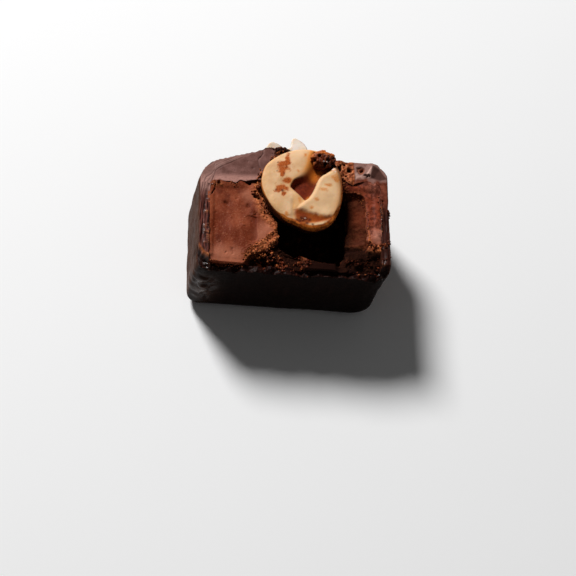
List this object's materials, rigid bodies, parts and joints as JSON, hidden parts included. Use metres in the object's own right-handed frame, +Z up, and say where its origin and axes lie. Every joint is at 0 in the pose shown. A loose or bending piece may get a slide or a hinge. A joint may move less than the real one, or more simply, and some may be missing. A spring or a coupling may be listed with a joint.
{
  "type": "halved hazelnut praline",
  "caption": "Dark-coated hazelnut praline cut in half and lying cut side up, with a split kernel set in a brown gianduja filling that is broken out below it.",
  "frame": {"origin": "on the flat that the half rests on, straight below the middle of the cut face's width", "axes": "+X along the praline's width, left to right as the cut face is looked at; +Y from the base to the crown; +Z up, out of the cut face"},
  "size_m": [0.0325, 0.0271, 0.0186],
  "materials": {
    "dark_chocolate": "dark chocolate, glossy outside and dull with knife marks where cut",
    "gianduja": "smooth soft filling, crumbly where it broke",
    "kernel": "roasted kernel with a thin brown skin at its rim",
    "nut_chip": "pale raw-looking nut",
    "chocolate_crumb": "moist dark crumb with bright specks"
  },
  "bodies": {
    "root": {"coating": "dark_chocolate", "filling": "gianduja", "hazelnut": "kernel", "nut_chip_left": "nut_chip", "nut_chip_right": "nut_chip", "chocolate_crumb": "chocolate_crumb"}
  },
  "joints": []
}
